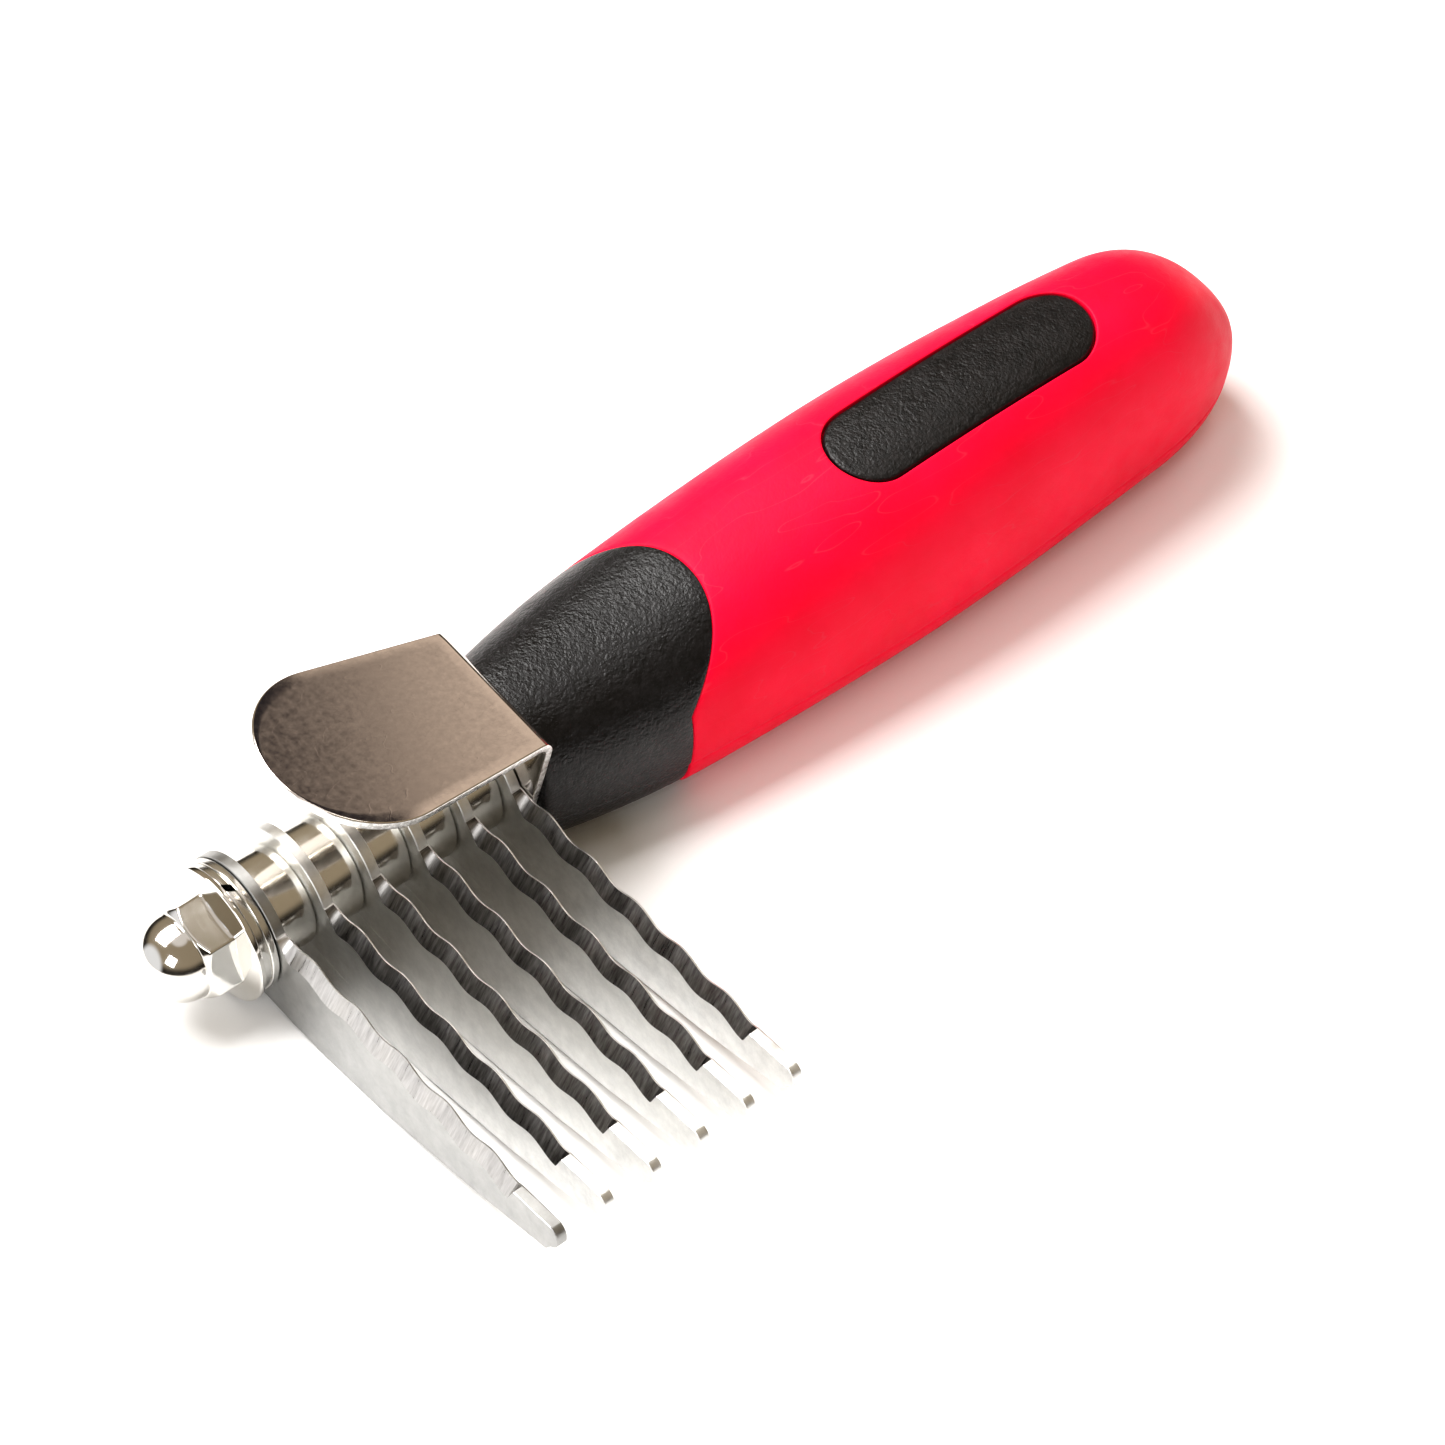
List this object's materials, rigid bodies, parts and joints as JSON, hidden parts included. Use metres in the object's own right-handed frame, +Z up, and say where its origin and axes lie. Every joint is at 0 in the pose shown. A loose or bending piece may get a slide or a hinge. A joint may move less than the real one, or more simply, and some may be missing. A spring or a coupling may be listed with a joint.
{
  "type": "dematting comb",
  "caption": "Pet dematting comb with wavy ground blades clamped on a rod by a flanged cap nut, a bent steel thumb rest and a soft two-colour oval handle.",
  "frame": {"origin": "centre of the bounding box in plan, on the ground plane that the belly of the handle and the backs of the blades rest on", "axes": "+X along the rod from the cap nut to the butt of the handle, +Y away from the teeth, +Z up"},
  "size_m": [0.18, 0.0756, 0.0363],
  "materials": {
    "nut_nickel": "polished nickel plate",
    "washer_nickel": "bright zinc plate",
    "blade_steel": "satin stainless with ground edge",
    "spacer_nickel": "polished nickel plate",
    "sheet_steel": "satin stainless sheet",
    "rod_steel": "zinc plated thread",
    "brass": "turned",
    "black_plastic": "fine moulded texture",
    "inlay_plastic": "fine moulded texture",
    "red_rubber": "satin soft-touch"
  },
  "bodies": {
    "handle": {"core_upper": "black_plastic", "core_lower": "black_plastic", "grip": "red_rubber", "inlay": "inlay_plastic", "tie_rod": "rod_steel", "anchor_insert": "brass", "thumb_rest": "sheet_steel"},
    "blade_stack": {"blade_1": "blade_steel", "blade_2": "blade_steel", "blade_3": "blade_steel", "blade_4": "blade_steel", "blade_5": "blade_steel", "blade_6": "blade_steel", "spacer_1": "spacer_nickel", "spacer_2": "spacer_nickel", "spacer_3": "spacer_nickel", "spacer_4": "spacer_nickel", "spacer_5": "spacer_nickel"},
    "washers": {"lock_washer": "washer_nickel", "flat_washer": "washer_nickel"},
    "nut": {"cap_nut": "nut_nickel"}
  },
  "joints": [
    {"name": "stack_turn", "type": "hinge", "parent": "handle", "child": "blade_stack", "pos_m": [-0.07603, 0.02199, 0.0099], "axis": [1, 0, 0], "range_deg": [-35, 205]},
    {"name": "nut_travel", "type": "slide", "parent": "handle", "child": "washers", "axis": [-1, 0, 0], "range_m": [0, 0.00687]},
    {"name": "nut_turn", "type": "hinge", "parent": "washers", "child": "nut", "pos_m": [-0.08427, 0.02199, 0.0099], "axis": [-1, 0, 0], "range_deg": [0, 1980]}
  ],
  "couplings": [
    {"joint": "nut_turn", "follows": "nut_travel", "rad_per_m": 5026.5}
  ]
}
